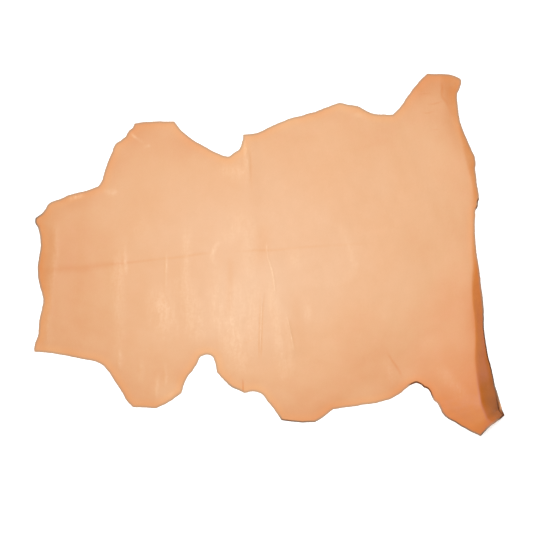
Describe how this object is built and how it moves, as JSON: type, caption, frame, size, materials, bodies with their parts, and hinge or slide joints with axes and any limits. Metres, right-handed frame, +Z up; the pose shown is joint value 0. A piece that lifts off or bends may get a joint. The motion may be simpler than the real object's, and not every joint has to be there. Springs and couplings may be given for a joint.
{
  "type": "leather hide",
  "caption": "Whole tanned hide trimmed to its natural outline and laid out grain side up, with one butt edge rolled over and soft creases across the shoulder.",
  "frame": {"origin": "middle of the hide's length and width, on the surface it lies on", "axes": "+X from neck to butt along the backbone, +Y towards the legs with the squared shoulder, +Z up from the grain side"},
  "size_m": [1.5, 1.158, 0.052],
  "materials": {
    "grain_leather": "smooth natural vegetable-tanned grain, softly glossy, with fibrous flesh side and raw cut edges"
  },
  "bodies": {
    "root": {"hide": "grain_leather"}
  },
  "joints": []
}
